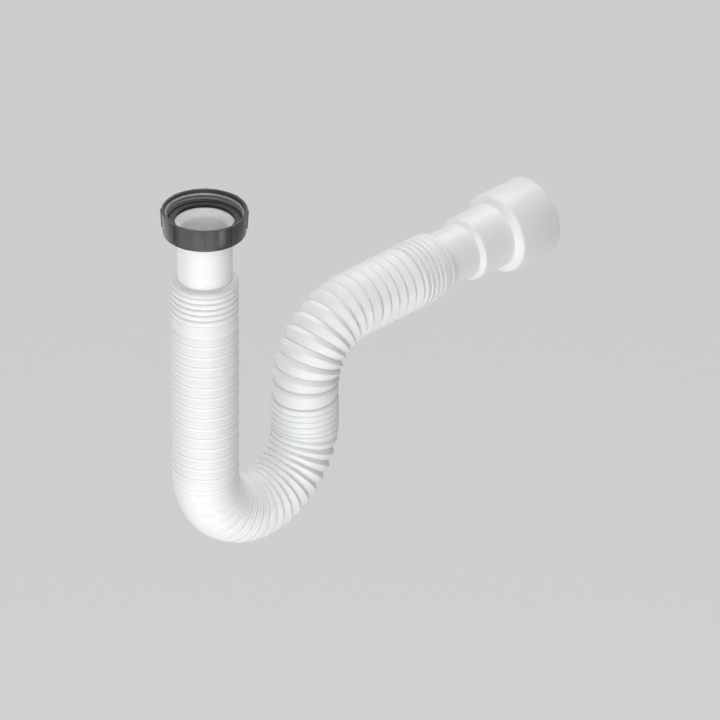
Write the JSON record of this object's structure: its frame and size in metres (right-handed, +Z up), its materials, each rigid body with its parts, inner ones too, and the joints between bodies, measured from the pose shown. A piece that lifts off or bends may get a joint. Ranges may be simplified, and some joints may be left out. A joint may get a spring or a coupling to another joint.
{
  "type": "extendable flexible waste pipe",
  "caption": "Extendable corrugated waste hose with a threaded coupling nut, a flat sealing washer, a trap-like bend and a level stepped push-fit outlet.",
  "frame": {"origin": "centre of the sealing washer's upper face, where the threaded waste seats", "axes": "+Z up along the coupling nut's axis; +X level, towards the stepped outlet; the hose's axis lies in the XZ plane"},
  "size_m": [0.303, 0.053, 0.2402],
  "materials": {
    "dark_grey_plastic": "fine satin moulded plastic, dark grey",
    "black_rubber": "smooth black rubber",
    "white_neck_plastic": "smooth white moulded plastic with a soft gloss",
    "white_hose_plastic": "white blow-moulded plastic with a soft gloss",
    "white_outlet_plastic": "smooth white moulded plastic with a soft gloss"
  },
  "bodies": {
    "inlet": {"inlet_neck": "white_neck_plastic", "sealing_washer": "black_rubber"},
    "nut": {"coupling_nut": "dark_grey_plastic"},
    "hose": {"corrugated_hose": "white_hose_plastic"},
    "outlet": {"outlet_adaptor": "white_outlet_plastic"}
  },
  "joints": [
    {"name": "nut_spin", "type": "hinge", "parent": "inlet", "child": "nut", "pos_m": [0, 0, 0], "axis": [0, 0, 1], "continuous": true},
    {"name": "leg_extend", "type": "slide", "parent": "inlet", "child": "hose", "axis": [0, 0, -1], "range_m": [-0.045, 0.028], "deforming": ["corrugated_hose"]},
    {"name": "outlet_swing", "type": "hinge", "parent": "hose", "child": "outlet", "pos_m": [0.09572, 0, -0.12092], "axis": [0, 1, 0], "range_deg": [-30, 30], "deforming": ["corrugated_hose"]}
  ]
}
